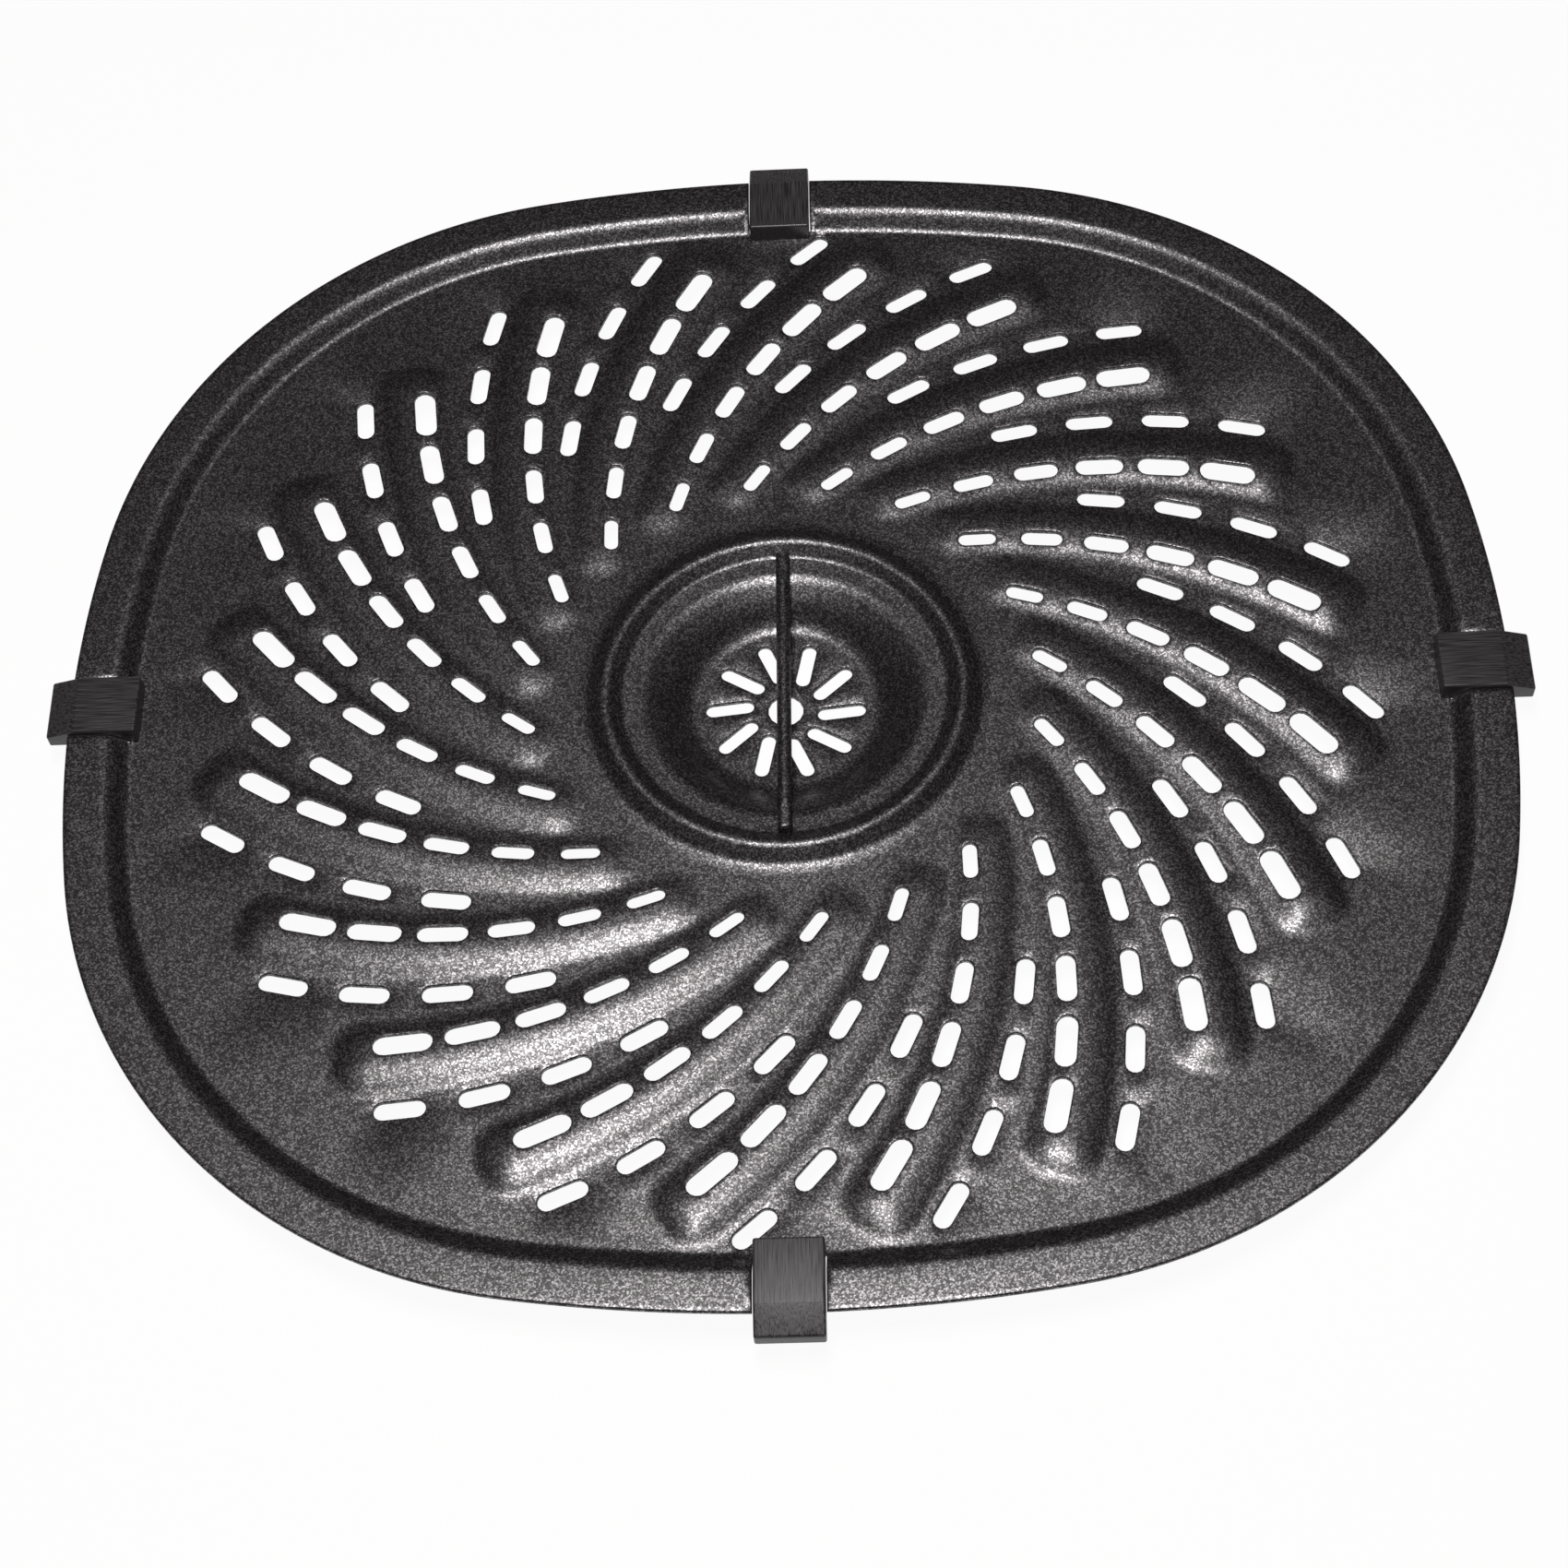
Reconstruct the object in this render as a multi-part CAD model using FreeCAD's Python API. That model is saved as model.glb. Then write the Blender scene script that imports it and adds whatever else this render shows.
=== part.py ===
import FreeCAD, Part
import os
from math import acos, cos, degrees, hypot, radians, sin, sqrt

# Crisper plate for a square-round air fryer basket: one pressed steel sheet with a spiral of
# raised ribs and drain slots round a lifting dish, a bar welded across the dish, and four
# silicone bumpers sleeved on tabs at the rim. Millimetres, +Z up. The origin is on the axis
# of the dish, on the surface that the underside of the dish rests on.

# Sheet and its outline, which is four wide arcs joined by four corner arcs
sheet = 1.0
plate_width = 241.0
plate_depth = 221.4
side_bow_radius = 209.0
end_bow_radius = 285.0
corner_radius = 89.0

# Rim: a flat flange, raised above the floor by a sloping step
flange_width = 6.9
step_run = 3.1
step_rise = 2.4

# Lifting dish, as heights of its top surface above the floor and radii from the axis
dish_depth = 5.5
dish_bottom_radius = 15.2
ledge_inner_radius = 23.3
ledge_outer_radius = 27.6
ledge_height = 0.9
crest_inner_radius = 29.6
crest_outer_radius = 30.5
crest_height = 2.0
dish_foot_radius = 33.0

# Drain holes in the bottom of the dish
centre_hole_diameter = 6.0
pinwheel_count = 10
pinwheel_radius = 9.5
pinwheel_slot_length = 8.2
pinwheel_slot_width = 2.4
pinwheel_slot_lean = 10.0
pinwheel_phase = -3.9

# Spiral of ribs. Each rib follows an arc whose centre stands off the plate's axis, and a row of
# slots runs along the flank that the spiral turns towards. The arc would pass the axis at the
# pass radius. A rib starts clear of the dish and ends clear of the step in the rim.
rib_count = 20
rib_row_radius = 101.6
rib_pass_radius = 21.8
rib_centre_bearing = -100.0
rib_start_clearance = 6.4
rib_end_clearance = 4.8
rib_start_near_foot = 2.9
rib_end_near_foot = 4.3
rib_start_far_foot = 6.4
rib_end_far_foot = 8.5
rib_bends = 4
rib_corner_cut = 2.6
rib_height = 1.6
rib_near_slope = 1.5
rib_far_slope = 3.2
rib_end_slope = 2.6

# Slots on a rib, from the innermost out, set back from the ends of the rib
rib_slot_first_setback = 7.4
rib_slot_last_setback = 10.5
rib_slot_pitch = 11.1
rib_slot_first_length = 6.5
rib_slot_last_length = 9.6
rib_slot_first_width = 2.35
rib_slot_last_width = 3.65

# Slots on the floor between two ribs, along an arc of their own
floor_row_radius = 96.4
floor_row_pass_radius = 23.8
floor_row_centre_bearing = -107.1
floor_row_start_clearance = 33.9
floor_row_end_clearance = 4.4
floor_slot_pitch = 13.4
floor_slot_length = 8.3
floor_slot_width = 3.0

# Every slot end is three flats
slot_end_flats = 3

# Lifting bar, a round rod with pressed ends that sit on the ledge of the dish
bar_diameter = 2.4
bar_seat_depth = 0.15
bar_end_gap = 0.3
bar_pad_length = 3.6
bar_pad_width = 2.8
bar_pad_height = 1.9
bar_pad_bevel = 0.4

# Bumpers, each a silicone sleeve on a tab between two slits in the rim
tab_width = 7.0
bumper_width = 10.4
bumper_side_clearance = 0.4
bumper_top_thickness = 1.3
bumper_bottom_thickness = 1.7
bumper_reach_out = 3.7
bumper_nose_drop = 1.5
bumper_slope_start = 1.2
bumper_foot_length = 2.5
bumper_edge_bevel = 0.4

# Heights that follow
floor_under = dish_depth
floor_top = floor_under + sheet
flange_top = floor_top + step_rise
flange_under = flange_top - sheet
ledge_top = floor_top + ledge_height
crest_top = floor_top + crest_height
below_all = -4.0 * sheet
above_all = flange_top + 10.0 * sheet
past_rim = 5.0 * sheet


def bearing_at(row_radius, pass_radius, centre_bearing, distance):
    """Bearing round its centre at which a row is a given distance from the axis of the dish."""
    offset = row_radius - pass_radius
    turn = (distance ** 2 - offset ** 2 - row_radius ** 2) / (2 * offset * row_radius)
    return centre_bearing + degrees(acos(turn))


def slots_between(row_radius, first_bearing, last_bearing, pitch):
    """How many slots a row takes between two bearings."""
    return round(radians(first_bearing - last_bearing) * row_radius / pitch) + 1


# Places that follow: where the rows start beside the dish and end beside the step
step_foot_reach = min(plate_width, plate_depth) / 2 - flange_width - step_run
rib_centre_distance = rib_row_radius - rib_pass_radius
rib_row = (rib_row_radius, rib_pass_radius, rib_centre_bearing)
rib_start_bearing = bearing_at(*rib_row, dish_foot_radius + rib_start_clearance)
rib_end_bearing = bearing_at(*rib_row, step_foot_reach - rib_end_clearance)
rib_slot_first_bearing = rib_start_bearing - degrees(rib_slot_first_setback / rib_row_radius)
rib_slot_last_bearing = rib_end_bearing + degrees(rib_slot_last_setback / rib_row_radius)
rib_slot_count = slots_between(rib_row_radius, rib_slot_first_bearing, rib_slot_last_bearing, rib_slot_pitch)
floor_row_centre_distance = floor_row_radius - floor_row_pass_radius
floor_row = (floor_row_radius, floor_row_pass_radius, floor_row_centre_bearing)
floor_slot_first_bearing = bearing_at(*floor_row, dish_foot_radius + floor_row_start_clearance)
floor_slot_last_bearing = bearing_at(*floor_row, step_foot_reach - floor_row_end_clearance)
floor_slot_count = slots_between(floor_row_radius, floor_slot_first_bearing, floor_slot_last_bearing,
                                 floor_slot_pitch)

vector = FreeCAD.Vector
axis_z = vector(0, 0, 1)
origin = vector(0, 0, 0)


def polar(centre, radius, bearing, z):
    """Point at a bearing in degrees round a centre."""
    angle = radians(bearing)
    return vector(centre.x + radius * cos(angle), centre.y + radius * sin(angle), z)


def arc(start, middle, end):
    return Part.Arc(start, middle, end).toShape()


def bevelled_wire(points, bevels):
    """Closed wire of straight sides through the points, each corner cut back by its own bevel."""
    ring = []
    for index, corner in enumerate(points):
        if bevels[index] > 0:
            for neighbour in (points[index - 1], points[(index + 1) % len(points)]):
                ring.append(corner + (neighbour - corner).normalize() * bevels[index])
        else:
            ring.append(corner)
    return Part.makePolygon(ring + ring[:1])


def oval_wire(inset, z):
    """Outline of the plate moved inwards: side, end and corner arcs keep their centres."""
    end_centre = vector(0, plate_depth / 2 - end_bow_radius, z)
    side_centre = vector(plate_width / 2 - side_bow_radius, 0, z)
    to_end = end_bow_radius - corner_radius
    to_side = side_bow_radius - corner_radius
    between = side_centre - end_centre
    span = between.Length
    along = (to_end ** 2 - to_side ** 2 + span ** 2) / (2 * span)
    across = sqrt(to_end ** 2 - along ** 2)
    unit = vector(between.x / span, between.y / span, 0)
    normal = vector(unit.y, -unit.x, 0)
    corner_centre = end_centre + unit * along + normal * across
    end_join = (corner_centre - end_centre).normalize()
    side_join = (corner_centre - side_centre).normalize()
    corner_join = (end_join + side_join).normalize()
    top = end_centre + vector(0, end_bow_radius - inset, 0)
    upper = end_centre + end_join * (end_bow_radius - inset)
    mid = corner_centre + corner_join * (corner_radius - inset)
    lower = side_centre + side_join * (side_bow_radius - inset)
    side = side_centre + vector(side_bow_radius - inset, 0, 0)

    def flipped(point, flip_x, flip_y):
        return vector(point.x * flip_x, point.y * flip_y, point.z)

    edges = []
    for flip_y in (1, -1):
        edges.append(arc(flipped(upper, -1, flip_y), flipped(top, 1, flip_y), flipped(upper, 1, flip_y)))
    for flip_x in (1, -1):
        edges.append(arc(flipped(lower, flip_x, 1), flipped(side, flip_x, 1), flipped(lower, flip_x, -1)))
        for flip_y in (1, -1):
            corner = [flipped(point, flip_x, flip_y) for point in (upper, mid, lower)]
            edges.append(arc(*corner))
    return Part.Wire(Part.__sortEdges__(edges))


def prism(wire, height):
    return Part.Face(wire).extrude(vector(0, 0, height))


def moved_inwards(corners, shifts):
    """Corners of an outline, walked to the left, after each side moves inwards by its own shift."""
    sides = []
    for index, corner in enumerate(corners):
        step = corners[(index + 1) % len(corners)] - corner
        length = hypot(step.x, step.y)
        normal = vector(-step.y / length, step.x / length, 0)
        sides.append((normal, normal.dot(corner) + shifts[index]))
    moved = []
    for index, (normal, reach) in enumerate(sides):
        before, reach_before = sides[index - 1]
        turn = before.x * normal.y - before.y * normal.x
        moved.append(vector((reach_before * normal.y - reach * before.y) / turn,
                            (reach * before.x - reach_before * normal.x) / turn, corners[index].z))
    return moved


def frustum(lower, upper):
    """Solid between two level outlines whose sides are parallel in pairs."""
    faces = [Part.Face(Part.makePolygon(ring + ring[:1])) for ring in (lower, upper)]
    for index in range(len(lower)):
        flat = (lower[index - 1], lower[index], upper[index], upper[index - 1], lower[index - 1])
        faces.append(Part.Face(Part.makePolygon(flat)))
    return Part.makeSolid(Part.makeShell(faces))


def rib_foot(z):
    """Foot of a rib, walked to the left: the far side, the inner end, the near side, the outer end."""
    centre = polar(origin, rib_centre_distance, rib_centre_bearing, 0)
    cut_turn = degrees(rib_corner_cut / rib_row_radius)
    near_side = []
    far_side = []
    for index in range(rib_bends + 1):
        share = index / rib_bends
        bearing = rib_end_bearing + cut_turn + share * (rib_start_bearing - rib_end_bearing - 2 * cut_turn)
        near = rib_end_near_foot + share * (rib_start_near_foot - rib_end_near_foot)
        far = rib_end_far_foot + share * (rib_start_far_foot - rib_end_far_foot)
        near_side.append(polar(centre, rib_row_radius - near, bearing, z))
        far_side.append(polar(centre, rib_row_radius + far, bearing, z))
    inner_end = (polar(centre, rib_row_radius + rib_start_far_foot - rib_corner_cut, rib_start_bearing, z),
                 polar(centre, rib_row_radius - rib_start_near_foot + rib_corner_cut, rib_start_bearing, z))
    outer_end = (polar(centre, rib_row_radius - rib_end_near_foot + rib_corner_cut, rib_end_bearing, z),
                 polar(centre, rib_row_radius + rib_end_far_foot - rib_corner_cut, rib_end_bearing, z))
    return far_side + list(inner_end) + near_side[::-1] + list(outer_end)


def rib_form(drop):
    """One raised rib: a flat crest with slopes all round, the widest on the side away from the slots."""
    foot = rib_foot(floor_top - drop)
    inner_end = [(rib_far_slope + rib_end_slope) / 2, rib_end_slope, (rib_near_slope + rib_end_slope) / 2]
    slopes = [rib_far_slope] * rib_bends + inner_end + [rib_near_slope] * rib_bends + inner_end[::-1]
    crest = [point + vector(0, 0, rib_height) for point in moved_inwards(foot, slopes)]
    return frustum(foot, crest)


def dish_form(drop):
    """Everything under the top surface of the dish, as a turned solid."""
    profile = (
        (0, below_all),
        (0, sheet),
        (dish_bottom_radius, sheet),
        (ledge_inner_radius, ledge_top),
        (ledge_outer_radius, ledge_top),
        (crest_inner_radius, crest_top),
        (crest_outer_radius, crest_top),
        (dish_foot_radius, floor_top),
        (dish_foot_radius, below_all),
        (0, below_all),
    )
    section = Part.Face(Part.makePolygon([vector(radius, 0, z - drop) for radius, z in profile]))
    return section.revolve(origin, axis_z, 360)


def pressed_form(drop, grow):
    """Everything under the top surface of the sheet, lowered by drop and grown past the rim."""
    rim_top = flange_top - drop
    bottom = below_all - drop
    body = prism(oval_wire(-grow, bottom), rim_top - bottom)
    step = [oval_wire(flange_width, rim_top), oval_wire(flange_width + step_run, rim_top - step_rise)]
    body = body.cut(Part.makeLoft(step, True, True))
    dish = dish_form(drop)
    well = Part.makeCylinder(dish_foot_radius, above_all, vector(0, 0, bottom))
    body = body.cut(well)
    rib = rib_form(drop)
    pieces = [dish]
    for index in range(rib_count):
        copy = rib.copy()
        copy.rotate(origin, axis_z, index * 360.0 / rib_count)
        pieces.append(copy)
    return body.multiFuse(pieces).removeSplitter()


def slot_cutter(middle, bearing, length, width):
    """Cutter for a slot that runs along a bearing, its ends made of flats."""
    points = []
    for end_bearing in (bearing, bearing + 180):
        end = polar(middle, (length - width) / 2, end_bearing, below_all)
        for index in range(slot_end_flats + 1):
            turn = -90.0 + 180.0 * index / slot_end_flats
            points.append(polar(end, width / 2, end_bearing + turn, below_all))
    return prism(Part.makePolygon(points + points[:1]), above_all - below_all)


def stepped(first, last, count, index):
    """Value at a place in an even row from first to last."""
    return first + (last - first) * index / (count - 1)


def spiral_cutters():
    """The slots of one rib and of the floor beside it."""
    cutters = []
    centre = polar(origin, rib_centre_distance, rib_centre_bearing, 0)
    for index in range(rib_slot_count):
        bearing = stepped(rib_slot_first_bearing, rib_slot_last_bearing, rib_slot_count, index)
        length = stepped(rib_slot_first_length, rib_slot_last_length, rib_slot_count, index)
        width = stepped(rib_slot_first_width, rib_slot_last_width, rib_slot_count, index)
        cutters.append(slot_cutter(polar(centre, rib_row_radius, bearing, 0), bearing + 90, length, width))
    centre = polar(origin, floor_row_centre_distance, floor_row_centre_bearing, 0)
    for index in range(floor_slot_count):
        bearing = stepped(floor_slot_first_bearing, floor_slot_last_bearing, floor_slot_count, index)
        middle = polar(centre, floor_row_radius, bearing, 0)
        cutters.append(slot_cutter(middle, bearing + 90, floor_slot_length, floor_slot_width))
    return cutters


def dish_cutters():
    """The pinwheel of slots and the centre hole in the bottom of the dish."""
    hole = Part.makeCylinder(centre_hole_diameter / 2, above_all - below_all, vector(0, 0, below_all))
    middle = vector(pinwheel_radius, 0, 0)
    slot = slot_cutter(middle, pinwheel_slot_lean, pinwheel_slot_length, pinwheel_slot_width)
    cutters = [hole]
    for index in range(pinwheel_count):
        copy = slot.copy()
        copy.rotate(origin, axis_z, pinwheel_phase + index * 360.0 / pinwheel_count)
        cutters.append(copy)
    return cutters


def facing(shape, side):
    """Turn what was made for the back of the rim to its own side, side 0 being the front."""
    shape.rotate(origin, axis_z, 180 + side * 90)
    return shape


def rim_reach(side):
    return (plate_depth if side % 2 == 0 else plate_width) / 2


def rim_slits(side):
    """The two slits that free a tab in the flange and the step."""
    notch_width = bumper_width + 2 * bumper_side_clearance
    slit_width = (notch_width - tab_width) / 2
    depth = flange_width + step_run
    slits = []
    for start in (-notch_width / 2, tab_width / 2):
        corner = vector(start, rim_reach(side) - depth, below_all)
        slits.append(facing(Part.makeBox(slit_width, depth + past_rim, above_all - below_all, corner), side))
    return slits


def bumper(side, rim):
    """Silicone sleeve: flat over the step and the flange, sloping down to a blunt nose."""
    reach = rim_reach(side)
    top = flange_top + bumper_top_thickness
    nose = reach + bumper_reach_out
    inner = reach - flange_width - step_run - bumper_foot_length
    underside = flange_under - bumper_bottom_thickness
    heel = reach - flange_width
    outline = (
        (inner, floor_top, 0),
        (inner, top, bumper_edge_bevel),
        (reach - bumper_slope_start, top, 0),
        (nose, top - bumper_nose_drop, bumper_edge_bevel),
        (nose, underside, bumper_edge_bevel),
        (heel, underside, 0),
        (heel - step_run, floor_top, 0),
    )
    points = [vector(-bumper_width / 2, y, z) for y, z, bevel in outline]
    wire = bevelled_wire(points, [bevel for y, z, bevel in outline])
    block = facing(Part.Face(wire).extrude(vector(bumper_width, 0, 0)), side)
    return max(block.cut(rim).Solids, key=lambda solid: solid.Volume)


def lifting_bar():
    """Round rod across the dish, with pads pressed at both ends."""
    axis_height = ledge_top + bar_diameter / 2 - bar_seat_depth
    half = ledge_outer_radius - bar_end_gap
    rod = Part.makeCylinder(bar_diameter / 2, 2 * half, vector(0, -half, axis_height), vector(0, 1, 0))
    under_ledge = vector(-bar_diameter, -half, ledge_top - bar_diameter)
    trim = Part.makeBox(2 * bar_diameter, 2 * half, bar_diameter, under_ledge)
    rod = rod.cut(trim)
    pads = []
    for start in (-half, half - bar_pad_length):
        corner = vector(-bar_pad_width / 2, start, ledge_top)
        pad = Part.makeBox(bar_pad_width, bar_pad_length, bar_pad_height, corner)
        long_edges = [edge for edge in pad.Edges if edge.BoundBox.YLength > bar_pad_length / 2]
        upper_edges = [edge for edge in long_edges if edge.BoundBox.ZMin > ledge_top + bar_pad_height / 2]
        pads.append(pad.makeChamfer(bar_pad_bevel, upper_edges))
    return rod.multiFuse(pads).removeSplitter()


def build():
    blank = pressed_form(0, 0).cut(pressed_form(sheet, past_rim))
    slits = []
    for side in range(4):
        slits.extend(rim_slits(side))
    blank = blank.cut(Part.makeCompound(slits))
    spiral = spiral_cutters()
    cutters = dish_cutters()
    for index in range(rib_count):
        for cutter in spiral:
            copy = cutter.copy()
            copy.rotate(origin, axis_z, index * 360.0 / rib_count)
            cutters.append(copy)
    plate = blank.cut(Part.makeCompound(cutters))
    nodes = {"crisper_plate": plate, "lifting_bar": lifting_bar()}
    for side, name in enumerate(("front", "right", "back", "left")):
        nodes[name + "_bumper"] = bumper(side, blank)
    return nodes


def main():
    os.makedirs("parts", exist_ok=True)
    for name, shape in build().items():
        solids = shape.Solids
        shape = solids[0] if len(solids) == 1 else shape
        print(name, "solids", len(solids), "valid", shape.isValid(), "volume", round(shape.Volume, 1))
        shape.exportStep("parts/" + name + ".step")


main()
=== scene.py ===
from math import atan2, cos, degrees, pi, radians, sin, sqrt

import bmesh
import bpy
import numpy as np
from mathutils import Matrix, Vector, geometry


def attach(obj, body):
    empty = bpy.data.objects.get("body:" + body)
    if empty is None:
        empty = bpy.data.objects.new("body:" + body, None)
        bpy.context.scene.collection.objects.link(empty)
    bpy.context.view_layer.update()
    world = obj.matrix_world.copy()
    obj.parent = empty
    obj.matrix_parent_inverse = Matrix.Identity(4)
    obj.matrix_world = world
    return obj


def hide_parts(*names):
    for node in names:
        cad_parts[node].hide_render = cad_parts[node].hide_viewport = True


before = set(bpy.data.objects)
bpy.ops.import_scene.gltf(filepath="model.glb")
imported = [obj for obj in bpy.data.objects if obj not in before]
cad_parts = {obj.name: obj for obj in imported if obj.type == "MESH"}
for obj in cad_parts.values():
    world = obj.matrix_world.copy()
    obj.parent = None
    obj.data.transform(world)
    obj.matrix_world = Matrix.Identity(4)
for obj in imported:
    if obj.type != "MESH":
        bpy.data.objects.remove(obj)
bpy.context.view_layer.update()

# Lengths are in millimetres, and meshes are scaled to metres when they are made.
MM = 0.001

# Sheet and its outline, as in the frame: wide side and end arcs joined by corner arcs
SHEET = 1.0
PLATE_WIDTH = 241.0
PLATE_DEPTH = 221.4
SIDE_BOW_RADIUS = 209.0
END_BOW_RADIUS = 285.0
CORNER_RADIUS = 89.0
FLANGE_WIDTH = 7.2
STEP_RUN = 2.75
STEP_RISE = 2.9
STEP_TOP_BEND = 2.2
STEP_FOOT_BEND = 1.4
RIM_ROUND = 0.3

# Height of the top of the floor, and the turned dish: radius, height over the floor, bend length
FLOOR_TOP = 6.5
DISH_DEPTH = 5.5
LEDGE_HEIGHT = 0.3
CREST_HEIGHT = 2.2
DISH_KNOTS = (
    (16.4, -DISH_DEPTH, 3.2),
    (19.6, -2.2, 2.4),
    (23.4, LEDGE_HEIGHT, 2.6),
    (27.4, LEDGE_HEIGHT, 0.6),
    (29.5, CREST_HEIGHT, 0.7),
    (30.75, CREST_HEIGHT, 0.7),
    (33.1, 0.25, 0.8),
    (34.8, 0.0, 1.0),
)

# Ribs: domed ridges along arcs about a centre off the axis, wider and higher at the outer end
RIB_COUNT = 20
RIB_CENTRE_DISTANCE = 79.8
RIB_CENTRE_BEARING = -100.0
RIB_ROW_RADIUS = 101.6
RIB_START_BEARING = 59.3
RIB_END_BEARING = 17.2
RIB_START_NEAR_FOOT = 2.4
RIB_END_NEAR_FOOT = 4.2
RIB_START_FAR_FOOT = 6.9
RIB_END_FAR_FOOT = 8.3
RIB_START_HEIGHT = 0.75
RIB_END_HEIGHT = 1.45
RIB_CAP_RUN = 6.0
RIB_CAP_SQUARENESS = 2.6
RIB_NEAR_BEND = 2.6
RIB_FAR_BEND = 1.6

# Slots on a rib and on the floor between two ribs, from the innermost out
RIB_SLOT_BEARINGS = (54.8, 23.45)
RIB_SLOT_LENGTHS = (6.5, 9.6)
RIB_SLOT_WIDTHS = (2.35, 3.65)
RIB_SLOT_COUNT = 6
FLOOR_ROW_CENTRE_DISTANCE = 72.6
FLOOR_ROW_CENTRE_BEARING = -107.1
FLOOR_ROW_RADIUS = 96.4
FLOOR_SLOT_BEARINGS = (29.0, 5.1)
FLOOR_SLOT_COUNT = 4
FLOOR_SLOT_LENGTH = 8.3
FLOOR_SLOT_WIDTH = 3.0
SLOT_EDGE_ROUND = 0.22

# Holes in the bottom of the dish
CENTRE_HOLE_DIAMETER = 6.0
PINWHEEL_COUNT = 10
PINWHEEL_RADIUS = 9.5
PINWHEEL_SLOT_LENGTH = 8.2
PINWHEEL_SLOT_WIDTH = 2.4
PINWHEEL_SLOT_LEAN = 10.0
PINWHEEL_PHASE = -3.9

# Tabs in the rim, and the bumpers on them
TAB_WIDTH = 7.0
BUMPER_WIDTH = 10.9
NOTCH_WIDTH = 11.2


# Shape of the pressed sheet

def soft_ramp(x, bend):
    """0 before x = 0 and x after it, joined by a bend of that length."""
    inside = (x + bend / 2) ** 2 / (2 * bend)
    return np.where(x <= -bend / 2, 0.0, np.where(x >= bend / 2, x, inside))


def outline_arcs():
    """Centres and joins of the three arcs in one quarter of the outline."""
    end_centre = np.array([0.0, PLATE_DEPTH / 2 - END_BOW_RADIUS])
    side_centre = np.array([PLATE_WIDTH / 2 - SIDE_BOW_RADIUS, 0.0])
    to_end = END_BOW_RADIUS - CORNER_RADIUS
    to_side = SIDE_BOW_RADIUS - CORNER_RADIUS
    between = side_centre - end_centre
    span = np.hypot(*between)
    along = (to_end ** 2 - to_side ** 2 + span ** 2) / (2 * span)
    across = sqrt(to_end ** 2 - along ** 2)
    unit = between / span
    corner_centre = end_centre + unit * along + np.array([unit[1], -unit[0]]) * across
    end_join = atan2(*(corner_centre - end_centre)[::-1])
    side_join = atan2(*(corner_centre - side_centre)[::-1])
    return end_centre, side_centre, corner_centre, end_join, side_join


END_CENTRE, SIDE_CENTRE, CORNER_CENTRE, END_JOIN, SIDE_JOIN = outline_arcs()


def rim_inset(x, y):
    """Distance of each point inside the outline of the plate."""
    x = np.abs(x)
    y = np.abs(y)
    to_end = END_BOW_RADIUS - np.hypot(x - END_CENTRE[0], y - END_CENTRE[1])
    to_side = SIDE_BOW_RADIUS - np.hypot(x - SIDE_CENTRE[0], y - SIDE_CENTRE[1])
    to_corner = CORNER_RADIUS - np.hypot(x - CORNER_CENTRE[0], y - CORNER_CENTRE[1])
    bearing = np.arctan2(y - CORNER_CENTRE[1], x - CORNER_CENTRE[0])
    in_corner = (bearing > SIDE_JOIN) & (bearing < END_JOIN)
    return np.where(in_corner, to_corner, np.minimum(to_end, to_side))


def polar(centre, radius, bearing):
    angle = np.radians(bearing)
    return np.array([centre[0] + radius * np.cos(angle), centre[1] + radius * np.sin(angle)])


RIB_CENTRE = polar((0, 0), RIB_CENTRE_DISTANCE, RIB_CENTRE_BEARING)
FLOOR_ROW_CENTRE = polar((0, 0), FLOOR_ROW_CENTRE_DISTANCE, FLOOR_ROW_CENTRE_BEARING)


def turned(x, y, angle):
    """Points turned round the axis by an angle in degrees."""
    c = cos(radians(angle))
    s = sin(radians(angle))
    return x * c - y * s, x * s + y * c


def foot_offsets(share):
    """Near and far foot of a rib, as offsets from its slot row, at a share of the way outwards."""
    near = RIB_START_NEAR_FOOT + share * (RIB_END_NEAR_FOOT - RIB_START_NEAR_FOOT)
    far = RIB_START_FAR_FOOT + share * (RIB_END_FAR_FOOT - RIB_START_FAR_FOOT)
    return -near, far


def rib_height(x, y):
    """Height of the first rib over the floor."""
    dx = x - RIB_CENTRE[0]
    dy = y - RIB_CENTRE[1]
    offset = np.hypot(dx, dy) - RIB_ROW_RADIUS
    bearing = np.degrees(np.arctan2(dy, dx))
    travel = np.radians(RIB_START_BEARING - bearing) * RIB_ROW_RADIUS
    length = radians(RIB_START_BEARING - RIB_END_BEARING) * RIB_ROW_RADIUS
    share = np.clip(travel / length, 0, 1)
    near, far = foot_offsets(share)
    half = (far - near) / 2
    side = (offset - (far + near) / 2) / half
    across = np.abs(side)
    past = np.maximum(1 - np.minimum(travel, length - travel) / RIB_CAP_RUN, 0)
    reach = (across ** RIB_CAP_SQUARENESS + past ** RIB_CAP_SQUARENESS) ** (1 / RIB_CAP_SQUARENESS)
    bend = RIB_NEAR_BEND + (RIB_FAR_BEND - RIB_NEAR_BEND) * (np.clip(side, -1, 1) + 1) / 2
    inside = soft_ramp(1 - reach, bend / half)
    return (RIB_START_HEIGHT + share * (RIB_END_HEIGHT - RIB_START_HEIGHT)) * inside * (2 - inside)


def ribs_height(x, y):
    """Height of all the ribs: only the nearest ones reach a point."""
    total = np.zeros_like(x)
    for index in range(RIB_COUNT):
        total = np.maximum(total, rib_height(*turned(x, y, -index * 360.0 / RIB_COUNT)))
    return total


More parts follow.
